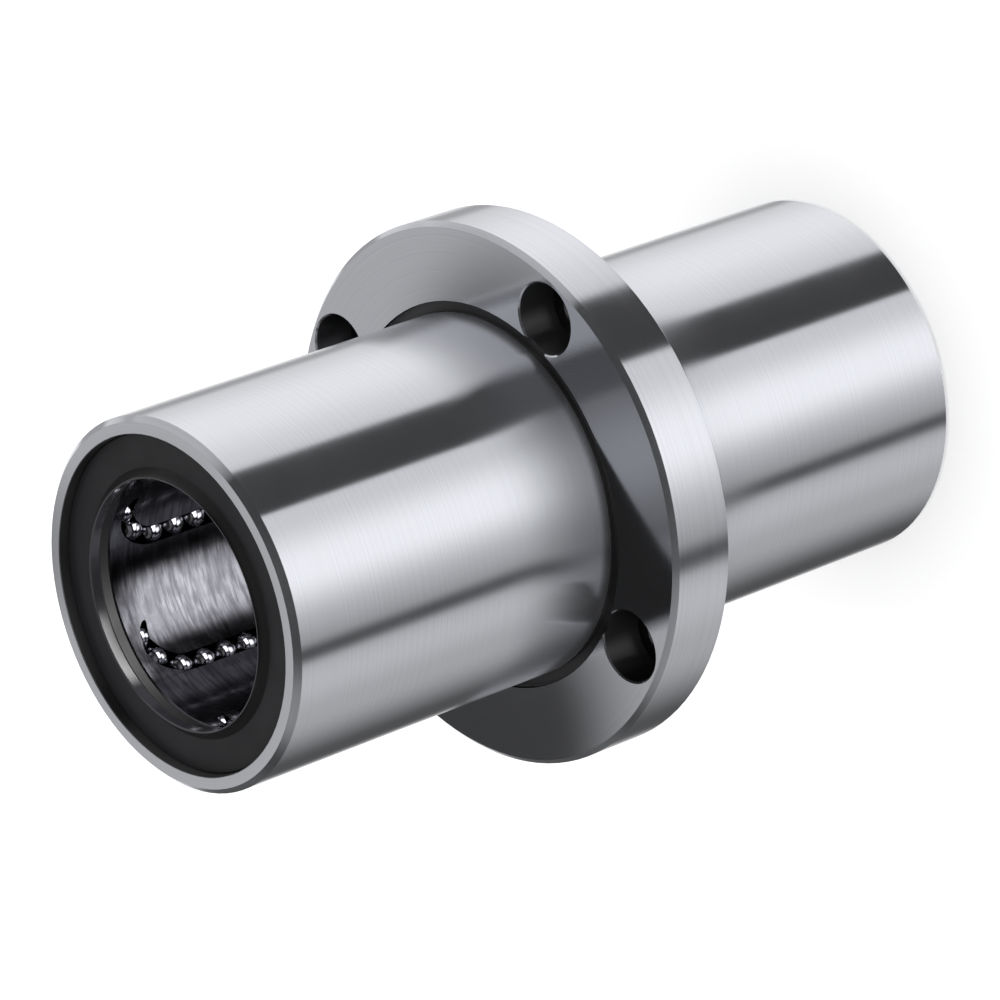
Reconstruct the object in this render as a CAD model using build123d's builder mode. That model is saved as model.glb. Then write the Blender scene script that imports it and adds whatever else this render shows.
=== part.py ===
from build123d import *
import os
from math import asin, cos, floor, pi, radians, sin

os.makedirs("parts", exist_ok=True)

# Center flange linear bushing, in millimetres.
# Z runs along the bore. The origin is on the bore's axis, in the middle of the flange.

# Shaft and balls
shaft_diameter = 60.0
ball_diameter = 6.35
circuits = 6
row_azimuth = 34.0
ball_play = 0.06
ball_stage = 0.51
ball_stagger = 0.55

# Barrel and flange, ground from one piece of bearing steel
barrel_diameter = 90.0
barrel_length = 209.0
rim_chamfer = 1.4
flange_diameter = 134.0
flange_thickness = 18.0
flange_chamfer = 1.2
face_groove_width = 2.8
face_groove_depth = 1.4
face_groove_round = 0.5

# Four counterbored screw holes, centred on the width of the flange
bolt_count = 4
bolt_azimuth = 45.0
bolt_head_margin = 2.25
bolt_seat_width = 3.25
bolt_head_depth = 11.1
bolt_edge_chamfer = 0.4

# Seal pocket at each end
pocket_diameter = 81.4
pocket_mouth_chamfer = 0.25
seal_recess = 2.6
lip_spread = 2.4
seal_edge_chamfer = 0.35
lip_reach = 1.8
lip_tip_thickness = 0.4
lip_land = 2.5
lip_back_gap = 1.2
skirt_thickness = 1.7
case_thickness = 1.0
case_flange = 1.0
seal_body = 2.8
seal_clearance = 0.05

# Split stop ring behind each seal
stop_ring_thickness = 1.5
stop_ring_width = 4.7
stop_groove_depth = 1.2
stop_ring_side_clearance = 0.05
stop_ring_radial_clearance = 0.2
stop_ring_gap = 10.0
lug_diameter = 5.2
lug_hole_diameter = 2.2

# Ball retainers and the ring between them
retainer_shaft_gap = 1.0
retainer_land_clearance = 0.15
retainer_end_clearance = 0.15
retainer_end_wall = 1.25
collar_thickness = 1.1
collar_clearance = 0.2
spacer_length = 4.3
retainer_edge_chamfer = 0.3

# Ball tracks
track_clearance = 0.125
track_lift = 0.1
return_lift = 1.725
turn_crown = 1.2
raceway_clearance = 0.01
return_channel_clearance = 0.175
turn_relief_clearance = 0.225
land_setback = 1.5

# Screw holes: a circle of 112, heads of 17.5 and holes of 11
bolt_circle_diameter = (barrel_diameter + flange_diameter) / 2
bolt_head_diameter = (flange_diameter - barrel_diameter) / 2 - 2 * bolt_head_margin
bolt_hole_diameter = bolt_head_diameter - 2 * bolt_seat_width

# Radii
shaft_radius = shaft_diameter / 2
ball_radius = ball_diameter / 2
barrel_radius = barrel_diameter / 2
flange_radius = flange_diameter / 2
pocket_radius = pocket_diameter / 2
loaded_orbit = shaft_radius + ball_radius
return_orbit = loaded_orbit + return_lift
raceway_radius = loaded_orbit + ball_radius + raceway_clearance
relief_radius = return_orbit + ball_radius + turn_relief_clearance
track_radius = ball_radius + track_clearance
return_channel_radius = ball_radius + return_channel_clearance
retainer_bore_radius = shaft_radius + retainer_shaft_gap
retainer_radius = raceway_radius - retainer_land_clearance
collar_radius = relief_radius - collar_clearance
stop_groove_radius = pocket_radius + stop_groove_depth

# The two rows of one circuit, seen along the bore. The loaded row runs under the raceway.
# The return row runs half a pitch further round and a little further out.
circuit_pitch = 360 / circuits
loaded_row = Vector(loaded_orbit + track_lift, 0).rotate(Axis.Z, row_azimuth)
return_row = Vector(return_orbit, 0).rotate(Axis.Z, row_azimuth - circuit_pitch / 2)
row_chord = return_row - loaded_row
crown_direction = row_chord.normalized().rotate(Axis.Z, 90)

# Both ends of a circuit turn about one point, which stands out from the chord of the two rows.
turn_point = (loaded_row + return_row) * 0.5 + crown_direction * turn_crown
turn_radius = (turn_point - loaded_row).length
loaded_outward = (turn_point - loaded_row).normalized().rotate(Axis.Z, 90)
return_outward = (return_row - turn_point).normalized().rotate(Axis.Z, 90)
turn_lap = loaded_outward.get_angle(return_outward) / 2 + 1

# Heights above the middle of the flange
rim_height = barrel_length / 2
flange_height = flange_thickness / 2
seal_face_height = rim_height - seal_recess
case_height = seal_face_height - seal_body
stop_ring_height = case_height - stop_ring_side_clearance - stop_ring_thickness
stop_groove_height = stop_ring_height - stop_ring_side_clearance
retainer_top = stop_ring_height - retainer_end_clearance
retainer_bottom = spacer_length / 2 + retainer_end_clearance
turn_inset = retainer_end_wall + track_radius + turn_radius
outer_turn_height = retainer_top - turn_inset
inner_turn_height = retainer_bottom + turn_inset
middle_land_height = retainer_bottom + retainer_end_wall - raceway_clearance
relief_ramp = relief_radius - raceway_radius

# Balls in a row stand one step apart. Round a turn the same step is a chord, so a turn holds fewer.
row_length = outer_turn_height - inner_turn_height
ball_step = ball_diameter + ball_play
turn_step = 2 * asin(ball_step / 2 / turn_radius)
turn_travel = pi / turn_step * ball_step
circuit_travel = 2 * (row_length + turn_travel)
balls_per_circuit = floor(circuit_travel / ball_step)


def finish(piece, name):
    """Label a piece and write it to its own file."""
    piece.part.label = name
    export_step(piece.part, f"parts/{name}.step")


def flip(shape):
    """Turn a shape end for end about the cross axis through the first ball row."""
    cross_axis = Axis((0, 0, 0), (cos(radians(row_azimuth)), sin(radians(row_azimuth)), 0))
    return shape.rotate(cross_axis, 180)


# Flanged sleeve. The outside is turned and ground, with a groove round the barrel in each flange face.
with BuildPart() as flanged_sleeve:
    Cylinder(barrel_radius, barrel_length)
    Cylinder(flange_radius, flange_thickness)
    rounds = flanged_sleeve.edges().filter_by(GeomType.CIRCLE)
    chamfer(rounds.group_by(SortBy.RADIUS)[-1], flange_chamfer)
    chamfer(rounds.group_by(Axis.Z)[0] + rounds.group_by(Axis.Z)[-1], rim_chamfer)
    for face_plane in (Plane.XY.offset(flange_height), Plane.XY.offset(-flange_height).rotated((180, 0, 0))):
        with BuildSketch(face_plane):
            Circle(barrel_radius + face_groove_width)
            Circle(barrel_radius, mode=Mode.SUBTRACT)
        extrude(amount=-face_groove_depth, mode=Mode.SUBTRACT)
    groove_outer = flanged_sleeve.edges().filter_by(GeomType.CIRCLE).filter_by(
        lambda edge: abs(edge.radius - barrel_radius - face_groove_width) < 0.01
        and abs(abs(edge.center().Z) - flange_height + face_groove_depth) < 0.01
    )
    fillet(groove_outer, face_groove_round)

    # The screws enter from the front face and their heads sit below it.
    with Locations(Plane.XY.offset(flange_height)):
        with PolarLocations(bolt_circle_diameter / 2, bolt_count, start_angle=bolt_azimuth):
            CounterBoreHole(bolt_hole_diameter / 2, bolt_head_diameter / 2, bolt_head_depth, depth=flange_thickness)
    bolt_edges = flanged_sleeve.edges().filter_by(GeomType.CIRCLE).filter_by(
        lambda edge: edge.radius < bolt_head_diameter / 2 + 0.01
        and abs(abs(edge.center().Z) - flange_height) < 0.01
    )
    chamfer(bolt_edges, bolt_edge_chamfer)

    # The bore steps from raceway lands to turn reliefs, then to the stop ring groove and seal pocket.
    with BuildSketch(Plane.XZ):
        with BuildLine():
            Polyline(
                (0, 0),
                (raceway_radius, 0),
                (raceway_radius, middle_land_height),
                (relief_radius, middle_land_height),
                (relief_radius, inner_turn_height + land_setback - relief_ramp),
                (raceway_radius, inner_turn_height + land_setback),
                (raceway_radius, outer_turn_height - land_setback),
                (relief_radius, outer_turn_height - land_setback + relief_ramp),
                (relief_radius, stop_groove_height),
                (stop_groove_radius, stop_groove_height),
                (stop_groove_radius, case_height),
                (pocket_radius, case_height),
                (pocket_radius, rim_height - pocket_mouth_chamfer),
                (pocket_radius + pocket_mouth_chamfer, rim_height),
                (0, rim_height),
                close=True,
            )
        make_face()
        mirror(about=Plane.XZ)
    revolve(axis=Axis.Z, mode=Mode.SUBTRACT)

    # Six channels cut through all the lands give the returning balls room behind the raceways.
    channel_end = outer_turn_height - land_setback + relief_ramp
    with BuildSketch(Plane.XY.offset(-channel_end)):
        with PolarLocations(return_orbit, circuits, start_angle=row_azimuth - circuit_pitch / 2):
            Circle(return_channel_radius)
    extrude(amount=2 * channel_end, mode=Mode.SUBTRACT)
finish(flanged_sleeve, "flanged_sleeve")


# Cutter for one closed ball track: two straight rows joined by a half turn at each end.
# Its section is round at the bottom, with straight sides that run out through the retainer.
track_opening = relief_radius - loaded_orbit


def track_section(row, outward):
    """Draw the track's section at one row, with its sides along the outward direction."""
    with Locations(row):
        Circle(track_radius)
    side_angle = Vector(1, 0).get_signed_angle(outward)
    with Locations(Location(row + outward * (track_opening / 2), side_angle)):
        Rectangle(track_opening, 2 * track_radius)


def turn_axis(direction):
    """Give the axis that a track section turns about at the outer end of a circuit."""
    return Axis((turn_point.X, turn_point.Y, outer_turn_height), direction)


# The half turn is two quarters that climb towards the return row and meet in the plane between them.
turn_split = Plane(origin=turn_point, z_dir=row_chord)

with BuildPart() as loaded_quarter:
    with BuildSketch(Plane.XY.offset(outer_turn_height)):
        track_section(loaded_row, loaded_outward)
    revolve(axis=turn_axis(loaded_outward), revolution_arc=90 + turn_lap)
    split(bisect_by=turn_split, keep=Keep.BOTTOM)

with BuildPart() as return_quarter:
    with BuildSketch(Plane.XY.offset(outer_turn_height)):
        track_section(return_row, return_outward)
    revolve(axis=turn_axis(-return_outward), revolution_arc=90 + turn_lap)
    split(bisect_by=turn_split, keep=Keep.TOP)

with BuildPart() as track_cutter:
    with BuildSketch(Plane.XY.offset(inner_turn_height)):
        track_section(loaded_row, loaded_outward)
        track_section(return_row, return_outward)
    extrude(amount=row_length)
    add(loaded_quarter.part)
    add(return_quarter.part)
    mirror(about=Plane.XY.offset((outer_turn_height + inner_turn_height) / 2))


# Ball retainer, a steel tube with six closed tracks. Each loaded row opens into the bore as a long
# slot, which narrows to a point where the track climbs to its return row.
with BuildPart() as front_retainer:
    with BuildSketch(Plane.XY.offset(retainer_bottom)):
        Circle(retainer_radius)
    extrude(amount=retainer_top - retainer_bottom)
    with BuildSketch(Plane.XY.offset(retainer_top - collar_thickness)):
        Circle(collar_radius)
    extrude(amount=collar_thickness)
    with BuildSketch(Plane.XY.offset(retainer_bottom)):
        Circle(retainer_bore_radius)
    extrude(amount=retainer_top - retainer_bottom, mode=Mode.SUBTRACT)
    end_edges = front_retainer.edges().filter_by(GeomType.CIRCLE)
    chamfer(end_edges.group_by(Axis.Z)[0] + end_edges.group_by(Axis.Z)[-1], retainer_edge_chamfer)
    with PolarLocations(0, circuits):
        add(track_cutter.part, mode=Mode.SUBTRACT)
finish(front_retainer, "front_retainer")

with BuildPart() as rear_retainer:
    add(flip(front_retainer.part))
finish(rear_retainer, "rear_retainer")


# Spacer ring between the two retainers.
with BuildPart() as centre_spacer:
    with BuildSketch(Plane.XY.offset(-spacer_length / 2)):
        Circle(retainer_radius)
        Circle(retainer_bore_radius, mode=Mode.SUBTRACT)
    extrude(amount=spacer_length)
    chamfer(centre_spacer.edges().filter_by(GeomType.CIRCLE), retainer_edge_chamfer)
finish(centre_spacer, "centre_spacer")


# End seal, one rubber moulding: a flat face in the pocket, a lip that leans out to the shaft, and a
# skirt that reaches back to the retainer.
seal_radius = pocket_radius - seal_clearance
lip_tip_height = seal_face_height + lip_reach
lip_land_height = lip_tip_height - lip_land
skirt_radius = shaft_radius + lip_back_gap
skirt_height = stop_ring_height + stop_ring_side_clearance
case_bore_radius = skirt_radius + skirt_thickness + seal_clearance
case_wall_height = case_height + case_thickness + case_flange

with BuildPart() as front_seal:
    with BuildSketch(Plane.XZ):
        with BuildLine():
            Polyline(
                (shaft_radius, lip_land_height),
                (shaft_radius, lip_tip_height - lip_tip_thickness / 2),
                (shaft_radius + lip_tip_thickness / 2, lip_tip_height),
                (shaft_radius + lip_tip_thickness, lip_tip_height),
                (shaft_radius + lip_spread, seal_face_height),
                (seal_radius - seal_edge_chamfer, seal_face_height),
                (seal_radius, seal_face_height - seal_edge_chamfer),
                (seal_radius, case_wall_height),
                (seal_radius - case_thickness, case_wall_height),
                (seal_radius - case_thickness, case_height + case_thickness),
                (skirt_radius + skirt_thickness, case_height + case_thickness),
                (skirt_radius + skirt_thickness, skirt_height),
                (skirt_radius, skirt_height),
                (skirt_radius, lip_land_height - lip_back_gap),
                close=True,
            )
        make_face()
    revolve(axis=Axis.Z)
finish(front_seal, "front_seal")

with BuildPart() as rear_seal:
    add(flip(front_seal.part))
finish(rear_seal, "rear_seal")


# Steel case bonded to the back of each seal, an angle ring that is pressed into the pocket.
with BuildPart() as front_seal_case:
    with BuildSketch(Plane.XY.offset(case_height)):
        Circle(seal_radius)
        Circle(case_bore_radius, mode=Mode.SUBTRACT)
    extrude(amount=case_thickness)
    with BuildSketch(Plane.XY.offset(case_height + case_thickness)):
        Circle(seal_radius)
        Circle(seal_radius - case_thickness, mode=Mode.SUBTRACT)
    extrude(amount=case_flange)
finish(front_seal_case, "front_seal_case")

with BuildPart() as rear_seal_case:
    add(flip(front_seal_case.part))
finish(rear_seal_case, "rear_seal_case")


# Split stop ring, a flat spring ring in its groove, with two eyed lugs for closing it.
stop_ring_radius = stop_groove_radius - stop_ring_radial_clearance
stop_ring_bore_radius = stop_ring_radius - stop_ring_width
lug_azimuth = stop_ring_gap / 2 + 180 / pi * lug_diameter / 2 / stop_ring_bore_radius

with BuildPart() as front_stop_ring:
    with BuildSketch(Plane.XY.offset(stop_ring_height)):
        Circle(stop_ring_radius)
        Circle(stop_ring_bore_radius, mode=Mode.SUBTRACT)
        gap_height = 2 * stop_ring_radius * sin(radians(stop_ring_gap / 2))
        with Locations((stop_ring_radius, 0)):
            Rectangle(2 * stop_ring_width + lug_diameter, gap_height, mode=Mode.SUBTRACT)
        with PolarLocations(stop_ring_bore_radius, 2, start_angle=-lug_azimuth, angular_range=4 * lug_azimuth):
            Circle(lug_diameter / 2)
            Circle(lug_hole_diameter / 2, mode=Mode.SUBTRACT)
    extrude(amount=stop_ring_thickness)
finish(front_stop_ring, "front_stop_ring")

with BuildPart() as rear_stop_ring:
    add(flip(front_stop_ring.part))
finish(rear_stop_ring, "rear_stop_ring")


def place_on_turn(turned, height, side):
    """Give the centre of a ball that has turned by an angle from the loaded row."""
    row = loaded_row if turned < pi / 2 else return_row
    across = turn_point + (row - turn_point) * abs(cos(turned))
    return across + Vector(0, 0, height + side * turn_radius * sin(turned))


def place_on_circuit(travel):
    """Give a ball's centre after some travel from the outer end of the first circuit's loaded row."""
    travel = travel % circuit_travel
    if travel < row_length:
        return loaded_row.normalized() * loaded_orbit + Vector(0, 0, outer_turn_height - travel)
    travel = travel - row_length
    if travel < turn_travel:
        return place_on_turn(pi * travel / turn_travel, inner_turn_height, -1)
    travel = travel - turn_travel
    if travel < row_length:
        return return_row + Vector(0, 0, inner_turn_height + travel)
    travel = travel - row_length
    return place_on_turn(pi - pi * travel / turn_travel, outer_turn_height, 1)


# Balls, one closed circuit of separate balls to a file. Each circuit stands at a stage of its own.
# The balls follow each other from halfway down the return row, where the spare room is left.
for number in range(circuits):
    first_travel = 1.5 * row_length + turn_travel
    stage = (ball_stage + ball_stagger * number) % 1 * ball_step
    centres = [
        place_on_circuit(first_travel + stage + ball * ball_step).rotate(Axis.Z, number * circuit_pitch)
        for ball in range(balls_per_circuit)
    ]
    with BuildPart() as front_balls:
        with Locations(*centres):
            Sphere(ball_radius)
    finish(front_balls, f"front_balls_{number + 1}")
    with BuildPart() as rear_balls:
        add(flip(front_balls.part))
    finish(rear_balls, f"rear_balls_{number + 1}")
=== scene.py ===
# %% [markdown]
# # Center flange linear bushing
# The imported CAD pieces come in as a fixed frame: a flanged steel sleeve, two seals, two ball
# retainers, the balls, and the small cases and rings that hide behind the seals. Their shapes are
# right already, so this script leaves every mesh as it is. What it adds is finish. Ground steel is
# almost a mirror, so most of its look is the studio that it reflects, and the studio gets as much
# care as the materials.

# %% Load the frame
import math

import bmesh
import bpy
from mathutils import Matrix, Vector


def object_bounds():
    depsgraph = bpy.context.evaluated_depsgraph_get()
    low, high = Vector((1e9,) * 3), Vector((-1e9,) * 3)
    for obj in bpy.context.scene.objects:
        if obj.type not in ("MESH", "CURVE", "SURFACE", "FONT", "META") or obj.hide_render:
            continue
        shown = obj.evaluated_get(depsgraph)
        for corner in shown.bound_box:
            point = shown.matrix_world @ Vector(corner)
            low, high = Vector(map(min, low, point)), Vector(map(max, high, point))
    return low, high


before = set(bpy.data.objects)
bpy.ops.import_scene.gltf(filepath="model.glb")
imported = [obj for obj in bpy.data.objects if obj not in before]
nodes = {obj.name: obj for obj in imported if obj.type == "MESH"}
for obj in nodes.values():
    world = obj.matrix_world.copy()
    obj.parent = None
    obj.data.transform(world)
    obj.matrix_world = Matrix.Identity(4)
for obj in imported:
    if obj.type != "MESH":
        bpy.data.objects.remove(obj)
cad_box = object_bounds()
scene = bpy.context.scene
print("pieces:", len(nodes), "box:", [[round(value, 4) for value in corner] for corner in cad_box])

# %% [markdown]
# The helpers are few. Colours are written as sRGB hex, as a paint chart gives them, and turned to the
# linear values that the renderer adds up. One function adds a shader node, sets it and links it, so
# that a material reads as a list of steps.

# %% Helpers for colours, nodes and materials
MM = 0.001


def linear(hex_colour):
    """Turn an sRGB hex colour such as "C8C9CC" into linear red, green, blue and alpha."""
    channels = [int(hex_colour[start:start + 2], 16) / 255 for start in (0, 2, 4)]
    return [c / 12.92 if c <= 0.04045 else ((c + 0.055) / 1.055) ** 2.4 for c in channels] + [1.0]


def add(tree, kind, inputs=None, **settings):
    """Add one node, set its properties, and link or fill its inputs."""
    node = tree.nodes.new(kind)
    for name, value in settings.items():
        setattr(node, name, value)
    for socket, value in (inputs or {}).items():
        if isinstance(value, bpy.types.NodeSocket):
            tree.links.new(value, node.inputs[socket])
        else:
            node.inputs[socket].default_value = value
    return node


def new_material(name):
    """Make an empty node material and give it with its node tree."""
    material = bpy.data.materials.new(name)
    material.use_nodes = True
    material.node_tree.nodes.clear()
    return material, material.node_tree


def finish_material(tree, shader):
    """Link a shader to the material's output."""
    add(tree, "ShaderNodeOutputMaterial", {"Surface": shader.outputs[0]})


print("sRGB 808080 is", round(linear("808080")[0], 3), "in linear light")

# %% [markdown]
# Each CAD piece has a material slot in the part's record, such as ground_steel. A function below
# puts one new material on named pieces.


def give(material, *names):
    """Put one material on some of the CAD pieces."""
    for name in names:
        nodes[name].data.materials.clear()
        nodes[name].data.materials.append(material)
    print(material.name, "on", len(names), "pieces")


# %% [markdown]
# The photo looks down on the bushing from the front and is rolled far over, so that an upright barrel
# lies across the picture. The camera's place and its two picture axes were solved from the outlines
# of the rims and the flange. A long lens from 1.4 m away keeps the mild perspective of the photo.

# %% Camera
camera_place = Vector((1.10927, 0.15895, 0.87736))
camera_right = Vector((0.62113, -0.25091, -0.74246))
camera_up = Vector((0.06985, 0.96132, -0.26643))
camera_data = bpy.data.cameras.new("camera")
camera_data.lens = 214.52
camera_data.sensor_width = 36.0
camera_data.clip_end = 20.0
camera = bpy.data.objects.new("camera", camera_data)
camera_axes = Matrix((camera_right, camera_up, camera_right.cross(camera_up))).transposed()
camera.matrix_world = Matrix.Translation(camera_place) @ camera_axes.to_4x4()
scene.collection.objects.link(camera)
scene.camera = camera
scene.view_settings.view_transform = "Standard"
print("camera distance:", round(camera_place.length, 3), "m")

# %% [markdown]
# A mirror shows the room. The room here is a ring of tall panels round the bushing. They could be
# lamps or cards on stands, but a near panel's reflection bends along the barrel. Drawn straight into
# the world, the panels stand infinitely far off, and their reflections run straight, as in the photo.

# %% World
world = bpy.data.worlds.new("studio")
scene.world = world
world.use_nodes = True
room = world.node_tree
room.nodes.clear()
heading = add(room, "ShaderNodeTexCoord").outputs["Generated"]
split = add(room, "ShaderNodeSeparateXYZ", {"Vector": heading})
level_heading = {0: split.outputs["Y"], 1: split.outputs["X"]}
bearing = add(room, "ShaderNodeMath", level_heading, operation="ARCTAN2").outputs[0]
print(world.name, "starts with", len(room.nodes), "nodes, which give a direction's bearing")

# %% [markdown]
# Each panel is a middle, a width and a soft edge in degrees round the table, and a brightness. Later
# panels stand in front of earlier ones. A dark narrow one with sharp edges gives the stripe along the
# barrel, and wide soft ones shade its round.

# %% Low panels, which the barrel and the flange's edge reflect
LOW_WALL = 0.715  # brightness of the room between the panels
LOW_PANELS = (
    (-101, 59, 33, 0.45),  # the barrel's shaded lower side in the picture
    (-139.5, 53.5, 44, 0.085),  # the dark band below that
    (183.5, 37, 14, 0.91),  # bright, from behind: the barrel's two outermost edges
    (3, 33, 27, 1.05),  # the brighter of its two pale bands
    (113, 46, 39, 0.95),  # the other pale band
    (162, 15, 4, 0.37),  # a grey line beside the upper edge
    (-42, 12, 69, 0.10),  # a wide shade
    (-46.8, 9, 7, 0.07),  # the thin dark line in that shade
    (56, 32.2, 2, 0.055),  # the broad dark stripe
)
print(len(LOW_PANELS), "low panels")

# %% High panels, which the flange's face and the rim reflect
HIGH_WALL = 0.05
HIGH_PANELS = (
    (0, 70, 66, 0.42),
    (105, 70, 8, 0.5),
    (190, 60, 30, 0.46),  # this one lights the face and the rim
    (-68, 64, 24, 0.27),
    (-46.8, 8, 7, 0.2),  # the thin dark line goes on upwards
    (56, 32.2, 3, 0.1),  # and so does the broad dark stripe
)
print(len(HIGH_PANELS), "high panels")


# %% Stand the panels in the world
def stand_panel(behind, middle, width, edge, brightness):
    """Stand one panel in front of what is behind it. The angles are in degrees."""
    to_middle = {0: bearing, 1: math.radians(middle)}
    turned_by = add(room, "ShaderNodeMath", to_middle, operation="SUBTRACT").outputs[0]
    half_turns = {0: turned_by, 1: math.pi, 2: -math.pi}
    wrapped = add(room, "ShaderNodeMath", half_turns, operation="WRAP").outputs[0]
    away = add(room, "ShaderNodeMath", {0: wrapped}, operation="ABSOLUTE").outputs[0]
    cover = add(
        room,
        "ShaderNodeMapRange",
        {
            "Value": away,
            "From Min": math.radians((width - edge) / 2),
            "From Max": math.radians((width + edge) / 2),
            "To Min": 1.0,
            "To Max": 0.0,
        },
        interpolation_type="SMOOTHSTEP",
    )
    layers = {0: cover.outputs[0], 2: behind, 3: brightness}
    return add(room, "ShaderNodeMix", layers, data_type="FLOAT").outputs[0]


low = LOW_WALL
for panel in LOW_PANELS:
    low = stand_panel(low, *panel)
high = HIGH_WALL
for panel in HIGH_PANELS:
    high = stand_panel(high, *panel)
print("world nodes with the panels:", len(room.nodes))


# %% [markdown]
# Low panels pass into high ones a little above the horizon. Above those come a dark gap and a pale
# ceiling. Only glossy rays see this room: the camera sees white, and matt surfaces are lit by plain
# white.

# %% From the horizon to the ceiling
def climb_to(behind, above, start, end):
    """Change from one brightness to another between two heights above the horizon, in degrees."""
    step = add(
        room,
        "ShaderNodeMapRange",
        {
            "Value": split.outputs["Z"],
            "From Min": math.sin(math.radians(start)),
            "From Max": math.sin(math.radians(end)),
        },
        interpolation_type="SMOOTHSTEP",
    )
    layers = {0: step.outputs[0], 2: behind, 3: above}
    return add(room, "ShaderNodeMix", layers, data_type="FLOAT").outputs[0]


panels = climb_to(low, high, 1, 14)
panels = climb_to(panels, 0.04, 40.5, 44)
panels = climb_to(panels, 0.5, 62, 72)
rays = add(room, "ShaderNodeLightPath")
strength = add(
    room,
    "ShaderNodeMix",
    {0: rays.outputs["Is Glossy Ray"], 2: 1.0, 3: panels},
    data_type="FLOAT",
)
light = add(room, "ShaderNodeBackground", {"Color": (1, 1, 1, 1), "Strength": strength.outputs[0]})
add(room, "ShaderNodeOutputWorld", {"Surface": light.outputs[0]})
print("world nodes in all:", len(room.nodes))

# %% [markdown]
# The bushing stands on its rear rim on a sheet of white paper. The paper is one large flat grid a
# hair below the rim. It takes the soft shadow, and it is left out of reflections, where the panels
# of the room take its place.

# %% Floor
FLOOR_SIDE = 6.0
FLOOR_DROP = 0.02 * MM


def mesh_from(name, sheet):
    """Turn a bmesh into a named mesh and free it."""
    mesh = bpy.data.meshes.new(name)
    sheet.to_mesh(mesh)
    sheet.free()
    return mesh


sheet = bmesh.new()
bmesh.ops.create_grid(sheet, x_segments=12, y_segments=12, size=FLOOR_SIDE / 2)
bmesh.ops.translate(sheet, verts=sheet.verts, vec=(0, 0, cad_box[0][2] - FLOOR_DROP))
floor = bpy.data.objects.new("paper_floor", mesh_from("paper_floor", sheet))
scene.collection.objects.link(floor)
floor.visible_glossy = False
print("floor at", round(cad_box[0][2] - FLOOR_DROP, 5), "m")

# %% [markdown]
# White paper is matt. It glows a little, so that it stays as white as the backdrop while it still
# takes the shadow. Its tone varies faintly, as the fibres of real paper make it. A noise that gets no
# place of its own counts from 0 to 1 across the whole sheet, so its scale is the sheet's side divided
# by the size of a cloud.

# %% White paper
FIBRE_CLOUD = 12 * MM  # far coarser than in real paper, whose clouds would not show from here

paper, tree = new_material("white_paper")
grain = add(tree, "ShaderNodeTexNoise", {"Scale": FLOOR_SIDE / FIBRE_CLOUD, "Detail": 3.0})
tone = add(
    tree,
    "ShaderNodeMapRange",
    {"Value": grain.outputs["Fac"], "To Min": 0.965, "To Max": 0.985},
)
channels = {name: tone.outputs[0] for name in ("Red", "Green", "Blue")}
paper_colour = add(tree, "ShaderNodeCombineColor", channels)
paper_shader = add(
    tree,
    "ShaderNodeBsdfPrincipled",
    {
        "Base Color": paper_colour.outputs[0],
        "Roughness": 0.9,
        "Specular IOR Level": 0.0,
        "Emission Color": linear("FFFFFF"),
        "Emission Strength": 0.28,
    },
)
finish_material(tree, paper_shader)
floor.data.materials.append(paper)
print(paper.name, "has", len(tree.nodes), "nodes")

# %% [markdown]
# Some things stand close to the bushing only to be mirrored in it, as small cards and flags stand
# round a shiny product in a studio. A card or a collar is a strip bent round the bore's axis. It
# works on one of its sides and is clear from the other.

# %% Sheets that only reflections see
CARD_RADIUS = 29.6 * MM  # just inside the seal's lip


def reflection_only(name, mesh, material):
    """Put a sheet into the scene for reflections alone."""
    piece = bpy.data.objects.new(name, mesh)
    scene.collection.objects.link(piece)
    piece.visible_camera = False
    piece.visible_diffuse = False
    piece.visible_shadow = False
    piece.data.materials.append(material)


def finish_sides(tree, front, back):
    """Finish a material that shows one shader on a sheet's front and another on its back."""
    side = add(tree, "ShaderNodeNewGeometry")
    shaders = {0: side.outputs["Backfacing"], 1: front.outputs[0], 2: back.outputs[0]}
    finish_material(tree, add(tree, "ShaderNodeMixShader", shaders))


def round_strip(name, strip_radius, first, last, foot, tops):
    """Bend a strip round the axis between two bearings. Its front faces out, and tops are its heights."""
    sheet = bmesh.new()
    uprights = []
    for step, top in enumerate(tops):
        turned_to = first + (last - first) * step / (len(tops) - 1)
        x = strip_radius * math.cos(turned_to)
        y = strip_radius * math.sin(turned_to)
        uprights.append([sheet.verts.new((x, y, foot)), sheet.verts.new((x, y, top))])
    for left, right in zip(uprights, uprights[1:]):
        sheet.faces.new((left[0], right[0], right[1], left[1]))
    return mesh_from(name, sheet)


print("cards in the bore will stand at a radius of", round(CARD_RADIUS / MM, 1), "mm")

# %% [markdown]
# The bore is deep and stands on the paper, so little light gets in, while in the photo its far wall
# is bright. Two curved cards glow against its near wall: a tall one for the retainer's wall, and
# above it a short and brighter one for the seal's lip and the balls. They glow inwards only.

# %% Cards in the bore
CARD_STEPS = 24


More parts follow.
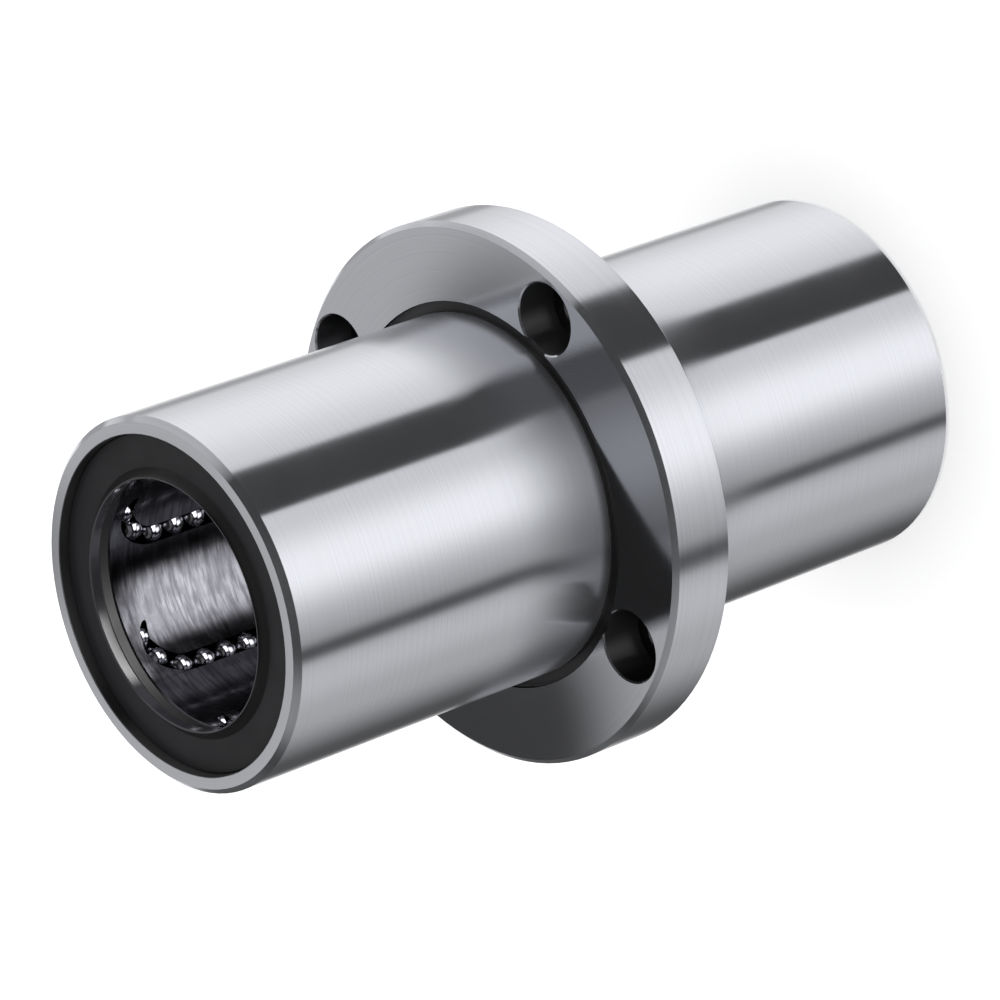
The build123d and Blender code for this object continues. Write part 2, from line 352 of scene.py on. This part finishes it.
def bore_card(name, bottom, top, middle, half_angle, fade, brightness, foot_share):
    """Stand a card that fades towards its sides, and to a share of its brightness at its foot."""
    glow, tree = new_material(name)
    place = add(tree, "ShaderNodeTexCoord").outputs["Object"]
    to_middle = {0: place, 1: (math.cos(middle), math.sin(middle), 0)}
    facing = add(tree, "ShaderNodeVectorMath", to_middle, operation="DOT_PRODUCT")
    level = add(
        tree,
        "ShaderNodeMapRange",
        {
            "Value": facing.outputs["Value"],
            "From Min": CARD_RADIUS * math.cos(half_angle),
            "From Max": CARD_RADIUS * math.cos(half_angle - fade),
            "To Max": brightness,
        },
        interpolation_type="SMOOTHSTEP",
    )
    height_in_bore = add(tree, "ShaderNodeSeparateXYZ", {"Vector": place}).outputs["Z"]
    share = add(
        tree,
        "ShaderNodeMapRange",
        {
            "Value": height_in_bore,
            "From Min": bottom,
            "From Max": top,
            "To Min": foot_share,
            "To Max": 1.0,
        },
    )
    both = {0: level.outputs[0], 1: share.outputs[0]}
    card_strength = add(tree, "ShaderNodeMath", both, operation="MULTIPLY")
    shine = add(tree, "ShaderNodeEmission", {"Strength": card_strength.outputs[0]})
    finish_sides(tree, front=add(tree, "ShaderNodeBsdfTransparent"), back=shine)
    tops = [top] * (CARD_STEPS + 1)
    strip = round_strip(name, CARD_RADIUS, middle - half_angle, middle + half_angle, bottom, tops)
    reflection_only(name, strip, glow)
    print(name, "stands", round(bottom / MM), "to", round(top / MM), "mm above the flange's middle")


bore_card(
    "tall_bore_card",
    bottom=-30 * MM,
    top=52 * MM,
    middle=math.radians(0),
    half_angle=math.radians(55),
    fade=math.radians(38),
    brightness=5.9,
    foot_share=0.45,
)
bore_card(
    "bright_bore_card",
    bottom=62 * MM,
    top=88 * MM,
    middle=math.radians(38),
    half_angle=math.radians(60),
    fade=math.radians(32),
    brightness=10.0,
    foot_share=1.0,
)

# %% [markdown]
# The flange's face is a level mirror, and in the photo it is not evenly bright: its lower side in the
# picture is dark. A near object does that, so two soft dark flags stand behind the bushing, where the
# flange's face reflects them. Each one fades into clear air towards its edge.

# %% Flags behind the flange
FLAG_PLACE = -200 * MM
FLAG_CORNERS = ((-1, -1), (1, -1), (1, 1), (-1, 1))


def soft_flag(name, across, height_above, half_width, half_height, depth):
    """Stand a dark oval flag behind the bushing. Depth is how much light its middle takes away."""
    cloth, tree = new_material(name)
    place = add(tree, "ShaderNodeTexCoord").outputs["Object"]
    middle = {0: place, 1: (FLAG_PLACE, across, height_above)}
    from_middle = add(tree, "ShaderNodeVectorMath", middle, operation="SUBTRACT").outputs[0]
    half_sizes = {0: from_middle, 1: (0, 1 / half_width, 1 / half_height)}
    reach = add(tree, "ShaderNodeVectorMath", half_sizes, operation="MULTIPLY").outputs[0]
    oval = add(tree, "ShaderNodeVectorMath", {0: reach}, operation="LENGTH").outputs["Value"]
    cover = add(
        tree,
        "ShaderNodeMapRange",
        {"Value": oval, "From Min": 0.4, "From Max": 1.0, "To Min": depth, "To Max": 0.0},
        interpolation_type="SMOOTHSTEP",
    )
    clear = add(tree, "ShaderNodeBsdfTransparent")
    dark = add(tree, "ShaderNodeEmission", {"Strength": 0.0})
    layers = {0: cover.outputs[0], 1: clear.outputs[0], 2: dark.outputs[0]}
    finish_material(tree, add(tree, "ShaderNodeMixShader", layers))

    sheet = bmesh.new()
    corners = []
    for side, up in FLAG_CORNERS:
        corner = (FLAG_PLACE, across + side * half_width, height_above + up * half_height)
        corners.append(sheet.verts.new(corner))
    sheet.faces.new(corners)
    bmesh.ops.subdivide_edges(sheet, edges=sheet.edges, cuts=6, use_grid_fill=True)
    reflection_only(name, mesh_from(name, sheet), cloth)
    print(name, "is", round(2 * half_width / MM), "by", round(2 * half_height / MM), "mm")


soft_flag(
    "low_side_flag",
    across=-95 * MM,
    height_above=145 * MM,
    half_width=70 * MM,
    half_height=68 * MM,
    depth=0.9,
)
soft_flag(
    "middle_flag",
    across=5 * MM,
    height_above=185 * MM,
    half_width=42 * MM,
    half_height=42 * MM,
    depth=0.65,
)

# %% [markdown]
# Between the two near screw holes the photo's flange face shows a sharp dark wedge, which starts at
# the groove and widens downwards. A dark collar round the foot of the barrel gives it: the face
# mirrors the collar, and the collar's rising edge becomes the wedge's straight side. It is seen
# from outside only, so that the barrel behind it keeps its own reflections.

# %% Collar at the barrel's foot
BARREL_RADIUS = 45 * MM
FACE_HEIGHT = 9 * MM
COLLAR_RADIUS = BARREL_RADIUS + 0.4 * MM
COLLAR_START = 25  # degrees round the table
COLLAR_END = -58
COLLAR_LOW = 10.2 * MM
COLLAR_RISE = 0.0057 * MM  # for each degree squared


def collar_top(bearing_degrees):
    """Give the height of the collar's edge. It rises faster the further it goes round."""
    return COLLAR_LOW + COLLAR_RISE * (COLLAR_START - bearing_degrees) ** 2


collar_cloth, tree = new_material("foot_collar")
nearly_black = add(tree, "ShaderNodeEmission", {"Strength": 0.015})
finish_sides(tree, front=nearly_black, back=add(tree, "ShaderNodeBsdfTransparent"))
collar_mesh = round_strip(
    "foot_collar",
    COLLAR_RADIUS,
    math.radians(COLLAR_END),
    math.radians(COLLAR_START),
    FACE_HEIGHT,
    [collar_top(degrees) for degrees in range(COLLAR_END, COLLAR_START + 1)],
)
reflection_only("foot_collar", collar_mesh, collar_cloth)
print("collar rises to", round(collar_top(COLLAR_END) / MM, 1), "mm")

# %% [markdown]
# The barrel mirrors the upper screw hole as a dark blot beside the flange, and the photo's dark stripe
# runs straight there instead. A steel disc over the hole gives the barrel a whole face to mirror. From
# inside the hole it is clear, so the hole stays as it is.

# %% Disc over the upper screw hole
BOLT_CIRCLE = 112 * MM
HOLE_PLACE = BOLT_CIRCLE / 2 / math.sqrt(2)  # the holes stand at 45 degrees, so x and y are alike
HEAD_RADIUS = 8.75 * MM
DISC_RADIUS = HEAD_RADIUS + 0.45 * MM  # it covers the hole's chamfer too

disc_steel, tree = new_material("hole_disc")
mirror = add(
    tree,
    "ShaderNodeBsdfPrincipled",
    {"Base Color": linear("E5E7ED"), "Metallic": 1.0, "Roughness": 0.085},
)
finish_sides(tree, front=mirror, back=add(tree, "ShaderNodeBsdfTransparent"))
sheet = bmesh.new()
bmesh.ops.create_circle(sheet, cap_ends=True, segments=48, radius=DISC_RADIUS)
disc_place = (HOLE_PLACE, HOLE_PLACE, FACE_HEIGHT + 0.03 * MM)
bmesh.ops.translate(sheet, verts=sheet.verts, vec=disc_place)
reflection_only("hole_disc", mesh_from("hole_disc", sheet), disc_steel)
print("disc at", [round(value / MM, 2) for value in disc_place], "mm")


# %% [markdown]
# The sleeve is hardened bearing steel. Its outside is ground and then polished, which leaves a near
# mirror with a fine lay of lines round the axis. The bore, the screw holes and the groove beside the
# flange are only turned or milled, which leaves them rougher, and they are painted dark grey as painted
# shade in these recesses. Faces could be sorted into two materials, but the mesh stays as it is, so
# one material does both: the point's own place on the piece says which finish it has.

# %% Where a point of the sleeve lies
def place_from_axis(tree, place):
    """Give a point's place with its height taken off, and how far it is from the bore's axis."""
    without_height = {0: place, 1: (1, 1, 0)}
    flat_place = add(tree, "ShaderNodeVectorMath", without_height, operation="MULTIPLY").outputs[0]
    length = add(tree, "ShaderNodeVectorMath", {0: flat_place}, operation="LENGTH")
    return flat_place, length.outputs["Value"]


ground_steel, tree = new_material("ground_bearing_steel")
place = add(tree, "ShaderNodeTexCoord").outputs["Object"]
along_bore = add(tree, "ShaderNodeSeparateXYZ", {"Vector": place}).outputs["Z"]
height = add(tree, "ShaderNodeMath", {0: along_bore}, operation="ABSOLUTE").outputs[0]
flat_place, radius = place_from_axis(tree, place)

# Distance to the nearest screw hole's axis, by folding the part onto one quarter
folded = add(tree, "ShaderNodeVectorMath", {0: flat_place}, operation="ABSOLUTE").outputs[0]
hole_axis = {0: folded, 1: (HOLE_PLACE, HOLE_PLACE, 0)}
to_hole = add(tree, "ShaderNodeVectorMath", hole_axis, operation="DISTANCE").outputs["Value"]
print("a screw hole's axis is", round(HOLE_PLACE / MM, 2), "mm off along x and along y")

# %% Which areas of it are only turned or milled, and darkened as painted shade
POCKET_RADIUS = 40.7 * MM  # where the seal sits
GROOVE_RADIUS = 47.8 * MM


def mark_areas(tree, limits):
    """Give a mask for each named area, which is 1 up to its first limit and 0 from its second."""
    masks = {}
    for name, (measured, full_up_to, none_from) in limits.items():
        falling = {
            "Value": measured,
            "From Min": full_up_to,
            "From Max": none_from,
            "To Min": 1.0,
            "To Max": 0.0,
        }
        masks[name] = add(tree, "ShaderNodeMapRange", falling).outputs[0]
    return masks


areas = mark_areas(
    tree,
    {
        "in_hole": (to_hole, HEAD_RADIUS, HEAD_RADIUS + 0.1 * MM),
        "in_bore": (radius, POCKET_RADIUS + 0.05 * MM, POCKET_RADIUS + 0.2 * MM),
        "below_face": (height, FACE_HEIGHT - 0.2 * MM, FACE_HEIGHT - 0.05 * MM),
        "near_barrel": (radius, GROOVE_RADIUS + 0.1 * MM, GROOVE_RADIUS + 0.2 * MM),
        "on_barrel": (radius, BARREL_RADIUS + 0.1 * MM, BARREL_RADIUS + 0.3 * MM),
    },
)
groove = {0: areas["below_face"], 1: areas["near_barrel"]}
in_groove = add(tree, "ShaderNodeMath", groove, operation="MULTIPLY").outputs[0]
openings = {0: areas["in_hole"], 1: areas["in_bore"]}
in_opening = add(tree, "ShaderNodeMath", openings, operation="MAXIMUM").outputs[0]
machined_with_painted_shade = add(tree, "ShaderNodeMath", {0: in_opening, 1: in_groove}, operation="MAXIMUM").outputs[0]
print("areas:", sorted(areas))

# %% [markdown]
# Grinding leaves lines that run round the axis. A noise that changes fast along the bore and along the
# radius, and not round the axis, draws them on barrel and faces alike. They give the eye a faint grain
# in the pale bands.

# %% Grinding lines
GRIND_PITCH = 0.6 * MM  # real grinding lines are twenty times finer, and would not show

lay = add(tree, "ShaderNodeCombineXYZ", {"X": radius, "Y": along_bore}).outputs[0]
grinding = {"Vector": lay, "Scale": 1 / GRIND_PITCH, "Detail": 2.0}
lines = add(tree, "ShaderNodeTexNoise", grinding).outputs["Fac"]
lay_tone = add(tree, "ShaderNodeMapRange", {"Value": lines, "From Min": 0.35, "From Max": 0.65})
ground_colour = add(
    tree,
    "ShaderNodeMix",
    {0: lay_tone.outputs[0], 6: linear("E3E5EB"), 7: linear("E8EAF0")},
    data_type="RGBA",
)
# The turned and milled hollows get 6A6A6C, a dark grey that is painted shade in these recesses.
colour = add(
    tree,
    "ShaderNodeMix",
    {0: machined_with_painted_shade, 6: ground_colour.outputs[2], 7: linear("6A6A6C")},
    data_type="RGBA",
)
print("lines every", round(GRIND_PITCH / MM, 2), "mm")

# %% [markdown]
# How sharply steel mirrors depends on its polish. On the round sides the polish drifts over blotches
# as wide as a thumb, as handling leaves it. The flat faces are ground on the wheel's side, which
# leaves them finer. The wheel cannot run up into the corner, so the barrel beside the flange is
# rougher.

# %% Polish
BLOTCH = 14 * MM
ROUGH_CORNER_FROM = 22 * MM  # heights from the flange's middle
ROUGH_CORNER_TO = 48 * MM

surface_normal = add(tree, "ShaderNodeNewGeometry").outputs["Normal"]
upward_part = add(tree, "ShaderNodeSeparateXYZ", {"Vector": surface_normal}).outputs["Z"]
tilt = add(tree, "ShaderNodeMath", {0: upward_part}, operation="ABSOLUTE").outputs[0]
on_face = add(tree, "ShaderNodeMath", {0: tilt, 1: 0.99}, operation="GREATER_THAN").outputs[0]
cloud = add(tree, "ShaderNodeTexNoise", {"Vector": place, "Scale": 1 / BLOTCH, "Detail": 3.0})
side_polish = add(
    tree,
    "ShaderNodeMapRange",
    {
        "Value": cloud.outputs["Fac"],
        "From Min": 0.3,
        "From Max": 0.7,
        "To Min": 0.11,
        "To Max": 0.135,
    },
)
polish = add(
    tree,
    "ShaderNodeMix",
    {0: on_face, 2: side_polish.outputs[0], 3: 0.085},
    data_type="FLOAT",
)
beside_flange = add(
    tree,
    "ShaderNodeMapRange",
    {
        "Value": height,
        "From Min": ROUGH_CORNER_FROM,
        "From Max": ROUGH_CORNER_TO,
        "To Min": 1.0,
        "To Max": 0.0,
    },
    interpolation_type="SMOOTHSTEP",
)
corner = {0: beside_flange.outputs[0], 1: areas["on_barrel"]}
in_corner = add(tree, "ShaderNodeMath", corner, operation="MULTIPLY").outputs[0]
ground = {0: in_corner, 2: polish.outputs[0], 3: 0.22}
ground_roughness = add(tree, "ShaderNodeMix", ground, data_type="FLOAT").outputs[0]
ground_or_turned = {0: machined_with_painted_shade, 2: ground_roughness, 3: 0.38}
roughness = add(tree, "ShaderNodeMix", ground_or_turned, data_type="FLOAT").outputs[0]
print("blotches of", round(BLOTCH / MM), "mm")

# %% [markdown]
# A CAD mesh rounds a barrel with flat facets, and a mirror shows every small error in their smoothing.
# The true surface of a round side points straight out from the axis, so the material uses that
# direction there, and the reflections run clean round the barrel.

# %% True direction of the round sides
ROUND_FROM = BARREL_RADIUS - 0.1 * MM

upright = add(tree, "ShaderNodeMath", {0: tilt, 1: 0.02}, operation="LESS_THAN").outputs[0]
outside = add(tree, "ShaderNodeMath", {0: radius, 1: ROUND_FROM}, operation="GREATER_THAN").outputs[0]
no_hole = add(tree, "ShaderNodeMath", {0: 1.0, 1: areas["in_hole"]}, operation="SUBTRACT").outputs[0]
outer_wall = add(tree, "ShaderNodeMath", {0: upright, 1: outside}, operation="MULTIPLY").outputs[0]
round_side = add(tree, "ShaderNodeMath", {0: outer_wall, 1: no_hole}, operation="MULTIPLY").outputs[0]
straight_out = add(tree, "ShaderNodeVectorMath", {0: flat_place}, operation="NORMALIZE").outputs[0]
true_normal = add(
    tree,
    "ShaderNodeMix",
    {0: round_side, 4: surface_normal, 5: straight_out},
    data_type="VECTOR",
)
print("round sides start at a radius of", round(ROUND_FROM / MM, 1), "mm")

# %% [markdown]
# Lines that run one way spread a reflection across themselves. That is anisotropy: highlights stretch
# along the barrel and stay sharp round it, which gives ground steel its long straight bands.

# %% Ground bearing steel
relief = add(
    tree,
    "ShaderNodeBump",
    {"Height": lines, "Strength": 0.04, "Distance": 0.004 * MM, "Normal": true_normal.outputs[1]},
)
round_axis = add(tree, "ShaderNodeTangent", direction_type="RADIAL", axis="Z")
steel_shader = add(
    tree,
    "ShaderNodeBsdfPrincipled",
    {
        "Base Color": colour.outputs[2],
        "Metallic": 1.0,
        "Roughness": roughness,
        "Anisotropic": 1.0,
        "Anisotropic Rotation": 0.25,
        "Tangent": round_axis.outputs[0],
        "Normal": relief.outputs[0],
    },
)
finish_material(tree, steel_shader)
give(ground_steel, "flanged_sleeve")

# %% [markdown]
# The seals are nitrile rubber, moulded and a little oily. Rubber reflects little straight on and more
# at a slant, so the lip catches one bright crescent while its face stays nearly black. The lip's
# sloping flank is painted blacker than the face as painted shade, and its tip is painted greyer as a
# painted highlight.

# %% Lip, flank and tip of the seal, with painted shade and a painted highlight
nitrile, tree = new_material("moulded_nitrile_rubber")
place = add(tree, "ShaderNodeTexCoord").outputs["Object"]
_, radius = place_from_axis(tree, place)
zones = mark_areas(
    tree,
    {
        "tip": (radius, 30.4 * MM, 30.5 * MM),
        "lip": (radius, 30.3 * MM, 31.2 * MM),
        "flank": (radius, 32.2 * MM, 32.5 * MM),
    },
)
# Inside 32.2 mm the lip's flank is painted near black as painted shade, and inside 30.4 mm its tip is
# painted grey as a painted highlight.
rubber_with_painted_shade = add(
    tree,
    "ShaderNodeMix",
    {0: zones["flank"], 6: linear("19191D"), 7: linear("070709")},
    data_type="RGBA",
)
rubber_with_painted_light = add(
    tree,
    "ShaderNodeMix",
    {0: zones["tip"], 6: rubber_with_painted_shade.outputs[2], 7: linear("3A3A3E")},
    data_type="RGBA",
)
print("seal zones:", sorted(zones))

# %% Nitrile rubber
SKIN = 0.5 * MM  # the mould's fine pebbling, drawn coarser than it is
SMEAR = 9 * MM  # how wide a smear of oil is

smear = add(tree, "ShaderNodeTexNoise", {"Vector": place, "Scale": 1 / SMEAR, "Detail": 2.0})
face_sheen = add(
    tree,
    "ShaderNodeMapRange",
    {
        "Value": smear.outputs["Fac"],
        "From Min": 0.3,
        "From Max": 0.7,
        "To Min": 0.42,
        "To Max": 0.55,
    },
)
sheen = add(
    tree,
    "ShaderNodeMix",
    {0: zones["lip"], 2: face_sheen.outputs[0], 3: 0.13},
    data_type="FLOAT",
)
skin = add(tree, "ShaderNodeTexNoise", {"Vector": place, "Scale": 1 / SKIN, "Detail": 4.0})
skin_bump = add(
    tree,
    "ShaderNodeBump",
    {"Height": skin.outputs["Fac"], "Strength": 0.15, "Distance": 0.01 * MM},
)
nitrile_shader = add(
    tree,
    "ShaderNodeBsdfPrincipled",
    {
        "Base Color": rubber_with_painted_light.outputs[2],
        "Roughness": sheen.outputs[0],
        "IOR": 1.52,
        "Specular IOR Level": 0.5,
        "Normal": skin_bump.outputs[0],
    },
)
finish_material(tree, nitrile_shader)
give(nitrile, "front_seal", "rear_seal")

# %% [markdown]
# The retainers and their spacer are turned from steel tube and left as machined, dark with oil. The
# tool's feed marks run round the bore and break the lit band into fine streaks. A noise stretched
# round the bore draws them, and a second, rounder one adds smudges of oil.

# %% Feed marks and oil in the bore
FEED = 0.9 * MM  # the tool's feed per turn, drawn about twice as coarse as it is
STREAK = 7 * MM  # how far round the bore one mark runs before it fades
SMUDGE = 5 * MM

turned_steel, tree = new_material("turned_retainer_steel")
place = add(tree, "ShaderNodeTexCoord").outputs["Object"]
stretch = {0: place, 1: (1 / STREAK, 1 / STREAK, 1 / FEED)}
stretched = add(tree, "ShaderNodeVectorMath", stretch, operation="MULTIPLY").outputs[0]
streaks = add(tree, "ShaderNodeTexNoise", {"Vector": stretched, "Scale": 1.0, "Detail": 2.0})
smudge = add(tree, "ShaderNodeTexNoise", {"Vector": place, "Scale": 1 / SMUDGE, "Detail": 4.0})
worn = add(
    tree,
    "ShaderNodeMapRange",
    {"Value": streaks.outputs["Fac"], "From Min": 0.3, "From Max": 0.66},
    interpolation_type="SMOOTHSTEP",
)
oiled = add(
    tree,
    "ShaderNodeMapRange",
    {
        "Value": smudge.outputs["Fac"],
        "From Min": 0.35,
        "From Max": 0.6,
        "To Min": 0.4,
        "To Max": 1.0,
    },
    interpolation_type="SMOOTHSTEP",
)
worn_and_oiled = {0: worn.outputs[0], 1: oiled.outputs[0]}
clean = add(tree, "ShaderNodeMath", worn_and_oiled, operation="MULTIPLY").outputs[0]
print("marks", round(FEED / MM, 1), "mm apart and", round(STREAK / MM), "mm long")

# %% Turned retainer steel
bore_colour = add(
    tree,
    "ShaderNodeMix",
    {0: clean, 6: linear("424246"), 7: linear("646469")},
    data_type="RGBA",
)
dull = add(
    tree,
    "ShaderNodeMapRange",
    {
        "Value": smudge.outputs["Fac"],
        "From Min": 0.3,
        "From Max": 0.7,
        "To Min": 0.12,
        "To Max": 0.17,
    },
)
marks_bump = add(
    tree,
    "ShaderNodeBump",
    {"Height": streaks.outputs["Fac"], "Strength": 0.06, "Distance": 0.015 * MM},
)
round_bore = add(tree, "ShaderNodeTangent", direction_type="RADIAL", axis="Z")
turned_shader = add(
    tree,
    "ShaderNodeBsdfPrincipled",
    {
        "Base Color": bore_colour.outputs[2],
        "Metallic": 1.0,
        "Roughness": dull.outputs[0],
        "Anisotropic": 0.4,
        "Anisotropic Rotation": 0.25,
        "Tangent": round_bore.outputs[0],
        "Normal": marks_bump.outputs[0],
    },
)
finish_material(tree, turned_shader)
give(turned_steel, "front_retainer", "rear_retainer", "centre_spacer")


# %% [markdown]
# The balls are lapped chromium steel under a film of oil, which softens their highlights a little.
# Their dark grey is painted shade for the dim bore, since the steel itself is far paler. The pressed
# cases and the spring rings hide behind the seals: plain sheet steel, and spring steel blued by its
# heat treatment. The three differ only in colour, in roughness and in the size of their blotches, so
# one function makes them all.

# %% Ball, sheet and spring steel
def plain_steel(name, colour, smooth, rough, blotch, *pieces):
    """Make a steel whose roughness drifts between two values over blotches of one size."""
    material, tree = new_material(name)
    place = add(tree, "ShaderNodeTexCoord").outputs["Object"]
    drift = add(tree, "ShaderNodeTexNoise", {"Vector": place, "Scale": 1 / blotch, "Detail": 3.0})
    finish = add(
        tree,
        "ShaderNodeMapRange",
        {
            "Value": drift.outputs["Fac"],
            "From Min": 0.3,
            "From Max": 0.7,
            "To Min": smooth,
            "To Max": rough,
        },
    )
    shader = add(
        tree,
        "ShaderNodeBsdfPrincipled",
        {"Base Color": linear(colour), "Metallic": 1.0, "Roughness": finish.outputs[0]},
    )
    finish_material(tree, shader)
    give(material, *pieces)


ball_nodes = [name for name in sorted(nodes) if "_balls_" in name]
cases = ("front_seal_case", "rear_seal_case")
stop_rings = ("front_stop_ring", "rear_stop_ring")
# The balls' 84848A is painted shade: lapped chromium steel is far paler.
plain_steel("ball_steel_with_painted_shade", "84848A", 0.1, 0.14, 2 * MM, *ball_nodes)
plain_steel("pressed_sheet_steel", "A8A8AA", 0.3, 0.42, 5 * MM, *cases)
plain_steel("blued_spring_steel", "4A4B50", 0.3, 0.4, 4 * MM, *stop_rings)
